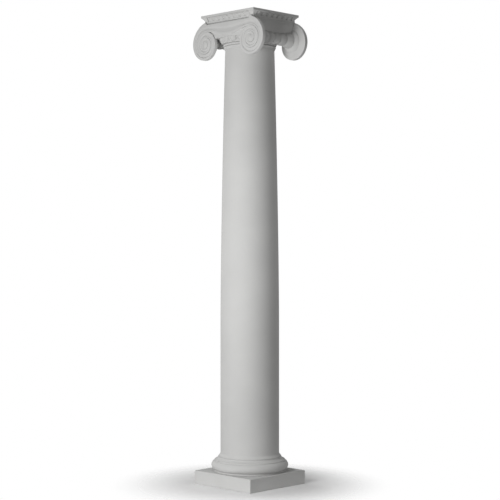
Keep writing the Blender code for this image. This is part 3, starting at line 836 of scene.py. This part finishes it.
def bolster_mesh(side):
    """Double trumpet from scroll to scroll, in rounded ribs that end in a dished flange."""
    scroll_back = FACE_DEPTH - SCROLL_THICKNESS
    flange = scroll_back - FLANGE_DISH
    edges = [0.0, RIB_WIDTH, 2 * RIB_WIDTH, 3 * RIB_WIDTH, flange]
    stations = []
    for low, high in zip(edges, edges[1:]):
        for share in (1 - np.cos(np.linspace(0, math.pi, RIB_STEPS + 1)[:-1])) / 2:
            place = low + (high - low) * share
            proud = math.sqrt(max(0.0, 1 - (2 * share - 1) ** 2))
            stations.append((place, proud, flare(place / flange)))
    for share in np.linspace(0, 1, 9):
        opened = flare(1.0) + (FLANGE_REACH - flare(1.0)) * share
        stations.append((flange + FLANGE_DISH * share**2, share, opened))
    stations.append((scroll_back + BOLSTER_SINK, 1.0, FLANGE_REACH))
    mirrored = [(-place, proud, opened) for place, proud, opened in reversed(stations[1:])]
    rings = []
    for place, proud, opened in mirrored + stations:
        ring = []
        for i in range(BOLSTER_STEPS):
            turn = i / BOLSTER_STEPS
            reach = BOLSTER_RADIUS + (volute_radius(turn) - BOLSTER_RADIUS) * opened
            reach -= RIB_DEPTH * (1 - proud)
            x = EYE_SPACING - BOLSTER_INSET * (1 - opened) + reach * math.sin(math.tau * turn)
            z = EYE_LEVEL + BOLSTER_RAISE * (1 - opened) + reach * math.cos(math.tau * turn)
            ring.append((side * x, place, z))
        rings.append(ring)
    return loft_mesh(rings)


def block_mesh():
    """Plain block behind the scrolls, from the echinus up to the abacus."""
    bm = bmesh.new()
    bmesh.ops.create_cube(bm, size=1.0)
    low = HOOP_LEVEL - BLOCK_DROP
    for vertex in bm.verts:
        vertex.co.x *= 2 * BLOCK_HALF_WIDTH
        vertex.co.y *= 2 * (FACE_DEPTH - SCROLL_THICKNESS / 2)
        vertex.co.z = low + (vertex.co.z + 0.5) * (CANALIS_TOP - JOINT - low)
    mesh = bpy.data.meshes.new("block")
    bm.to_mesh(mesh)
    bm.free()
    return mesh


def abacus_outline(inset, recess, level):
    """Ring of the rectangular abacus. Between its corners the face is sunk by the recess."""
    ring = []
    for quarter in range(4):
        half_run, distance = ABACUS_HALF_WIDTH, ABACUS_HALF_DEPTH
        if quarter % 2:
            half_run, distance = distance, half_run
        outer = half_run - ABACUS_CORNER + ABACUS_CORNER_STEP
        inner = half_run - ABACUS_CORNER - ABACUS_CORNER_STEP
        line = [(-half_run + inset, inset), (-outer, inset), (-inner, inset + recess)]
        line += [(inner, inset + recess), (outer, inset)]
        turn = Matrix.Rotation(quarter * math.pi / 2, 3, "Z")
        ring += [turn @ Vector((x, drawn - distance, level)) for x, drawn in line]
    return ring


def abacus_mesh():
    """Neck, fillet, quarter-round and top band, run round a rectangle and mitred at its corners."""
    spread = ABACUS_SPREAD
    neck = spread + ABACUS_NECK_INSET
    edge = FINE_ARRIS
    middle = ARRIS_MIDDLE * edge
    rings = [abacus_outline(neck, 0.0, CANALIS_TOP - ABACUS_NECK_HEIGHT)]
    rings.append(abacus_outline(neck, 0.0, ABACUS_FILLET_LEVEL))
    rings.append(abacus_outline(spread + edge, 0.0, ABACUS_FILLET_LEVEL))
    rings.append(abacus_outline(spread, 0.0, ABACUS_FILLET_LEVEL + edge))
    rings.append(abacus_outline(spread, 0.0, ABACUS_OVOLO_LEVEL))
    for share in np.linspace(0, 1, 15)[1:]:
        drawn = spread * math.cos(share * math.pi / 2) + ABACUS_EGG_SETBACK
        level = ABACUS_OVOLO_LEVEL + ABACUS_OVOLO_HEIGHT * share
        rings.append(abacus_outline(drawn, ABACUS_EGG_RECESS if share < 1 else 0.0, level))
    rings.append(abacus_outline(edge, 0.0, ABACUS_BAND_LEVEL))
    rings.append(abacus_outline(0.0, 0.0, ABACUS_BAND_LEVEL + edge))
    rings.append(abacus_outline(0.0, 0.0, COLUMN_HEIGHT - edge))
    rings.append(abacus_outline(middle, 0.0, COLUMN_HEIGHT - middle))
    rings.append(abacus_outline(edge, 0.0, COLUMN_HEIGHT))
    return loft_mesh(rings)


def eyes_mesh():
    """Round eye in the middle of each volute."""
    bm = bmesh.new()
    for x in (-EYE_SPACING, EYE_SPACING):
        for y in (-1, 1):
            shape = Matrix.Diagonal((EYE_RADIUS, EYE_BULGE, EYE_RADIUS, 1.0))
            put = Matrix.Translation((x, y * (FACE_DEPTH - EYE_SET), EYE_LEVEL))
            turn = Matrix.Rotation(math.radians(90), 4, "X")
            bmesh.ops.create_uvsphere(bm, u_segments=40, v_segments=20, radius=1.0, matrix=put @ shape @ turn)
    mesh = bpy.data.meshes.new("eyes")
    bm.to_mesh(mesh)
    bm.free()
    return mesh


def joined_mesh(meshes):
    """All the carved forms of one block in one mesh."""
    bm = bmesh.new()
    for mesh in meshes:
        bm.from_mesh(mesh)
    mesh = bpy.data.meshes.new("joined")
    bm.to_mesh(mesh)
    bm.free()
    return mesh


capital_stone = stone("capital stone", (0.63, 0.63, 0.622), cloud_scale=9.0, seed=12.6)
back_scroll = scroll_mesh()
back_scroll.transform(Matrix.Rotation(math.pi, 4, "Z"))
capital_forms = [
    core_mesh(),
    egg_ring_mesh(capital_stone),
    scroll_mesh(),
    back_scroll,
    bolster_mesh(-1),
    bolster_mesh(1),
    block_mesh(),
    abacus_mesh(),
    eyes_mesh(),
]
capital_forms += abacus_egg_meshes(capital_stone)
new_piece("ionic_capital", soften(joined_mesh(capital_forms)), capital_stone, "capital")


# Floor, background and light
# A plain pale floor that fades out into a white background, two soft lights in front of the lit scroll face,
# one near and one low, a weak light on the shaded side, two that brighten the edges of the shaft, and one
# above the abacus.
FLOOR_SOLID = 0.24
FLOOR_END = 0.75
floor_mesh = bpy.data.meshes.new("floor")
floor_mesh.from_pydata([(-3, -3, 0), (3, -3, 0), (3, 3, 0), (-3, 3, 0)], [], [(0, 1, 2, 3)])
floor = bpy.data.objects.new("floor", floor_mesh)
bpy.context.scene.collection.objects.link(floor)
floor_paint = bpy.data.materials.new("pale floor")
floor_paint.use_nodes = True
floor_nodes = floor_paint.node_tree.nodes
floor_links = floor_paint.node_tree.links
floor_shader = floor_nodes["Principled BSDF"]
floor_shader.inputs["Base Color"].default_value = (0.90, 0.90, 0.90, 1.0)
floor_shader.inputs["Roughness"].default_value = 1.0
floor_shader.inputs["Specular IOR Level"].default_value = 0.0
floor_place = floor_nodes.new("ShaderNodeTexCoord")
floor_radius = floor_nodes.new("ShaderNodeVectorMath")
floor_radius.operation = "LENGTH"
floor_fade = floor_nodes.new("ShaderNodeMapRange")
floor_fade.interpolation_type = "SMOOTHSTEP"
floor_fade.inputs["From Min"].default_value = FLOOR_SOLID
floor_fade.inputs["From Max"].default_value = FLOOR_END
floor_fade.inputs["To Min"].default_value = 1.0
floor_fade.inputs["To Max"].default_value = 0.0
floor_links.new(floor_place.outputs["Object"], floor_radius.inputs[0])
floor_links.new(floor_radius.outputs["Value"], floor_fade.inputs["Value"])
floor_links.new(floor_fade.outputs["Result"], floor_shader.inputs["Alpha"])
floor_mesh.materials.append(floor_paint)

world = bpy.data.worlds.new("studio")
world.use_nodes = True
bpy.context.scene.world = world
sky_nodes = world.node_tree.nodes
sky_links = world.node_tree.links
sky_nodes.clear()
seen = sky_nodes.new("ShaderNodeBackground")
seen.inputs["Strength"].default_value = 1.0
felt = sky_nodes.new("ShaderNodeBackground")
felt.inputs["Strength"].default_value = 0.12
path = sky_nodes.new("ShaderNodeLightPath")
either = sky_nodes.new("ShaderNodeMixShader")
sky = sky_nodes.new("ShaderNodeOutputWorld")
seen.inputs["Color"].default_value = (1.0, 1.0, 1.0, 1.0)
felt.inputs["Color"].default_value = (1.0, 0.995, 0.98, 1.0)
sky_links.new(path.outputs["Is Camera Ray"], either.inputs["Fac"])
sky_links.new(felt.outputs["Background"], either.inputs[1])
sky_links.new(seen.outputs["Background"], either.inputs[2])
sky_links.new(either.outputs["Shader"], sky.inputs["Surface"])


LIGHT_AIM = Vector((0, 0, 1.2))


def soft_light(name, azimuth, distance, height, width, tall, power):
    """Rectangular light at an azimuth from the lit scroll face, aimed at the column's axis."""
    light = bpy.data.lights.new(name, "AREA")
    light.shape = "RECTANGLE"
    light.size = width
    light.size_y = tall
    light.energy = power
    lamp = bpy.data.objects.new(name, light)
    bpy.context.scene.collection.objects.link(lamp)
    angle = math.radians(azimuth)
    place = Vector((distance * math.sin(angle), -distance * math.cos(angle), height))
    lamp.location = place
    lamp.rotation_euler = (LIGHT_AIM - place).to_track_quat("-Z", "Y").to_euler()


soft_light("near key", azimuth=12.5, distance=2.2, height=1.35, width=1.0, tall=1.0, power=27)
soft_light("low front", azimuth=3, distance=4.2, height=0.8, width=1.6, tall=1.6, power=54)
soft_light("left edge", azimuth=-97, distance=3.0, height=1.2, width=1.2, tall=1.6, power=30)
soft_light("right side", azimuth=95, distance=2.2, height=1.35, width=1.0, tall=1.0, power=4.5)
soft_light("right edge", azimuth=158, distance=2.6, height=1.3, width=1.2, tall=1.6, power=9.5)
soft_light("abacus top", azimuth=0, distance=0.3, height=4.4, width=0.9, tall=0.9, power=14)


# Camera
# It stands level at the photograph's angle, at the height of the column's middle, with a long lens.
CAMERA_AZIMUTH = math.radians(44.58)
CAMERA_DISTANCE = 6.872
CAMERA_HEIGHT = 1.220
camera_data = bpy.data.cameras.new("camera")
camera_data.sensor_width = 36.0
camera_data.lens = 94.896
camera_data.shift_x = 0.0004
camera_data.shift_y = -0.0008
camera = bpy.data.objects.new("camera", camera_data)
bpy.context.scene.collection.objects.link(camera)
camera.location = (
    CAMERA_DISTANCE * math.sin(CAMERA_AZIMUTH),
    -CAMERA_DISTANCE * math.cos(CAMERA_AZIMUTH),
    CAMERA_HEIGHT,
)
camera.rotation_euler = (math.pi / 2, 0.0, CAMERA_AZIMUTH)
bpy.context.scene.camera = camera
bpy.context.scene.view_settings.view_transform = "Standard"
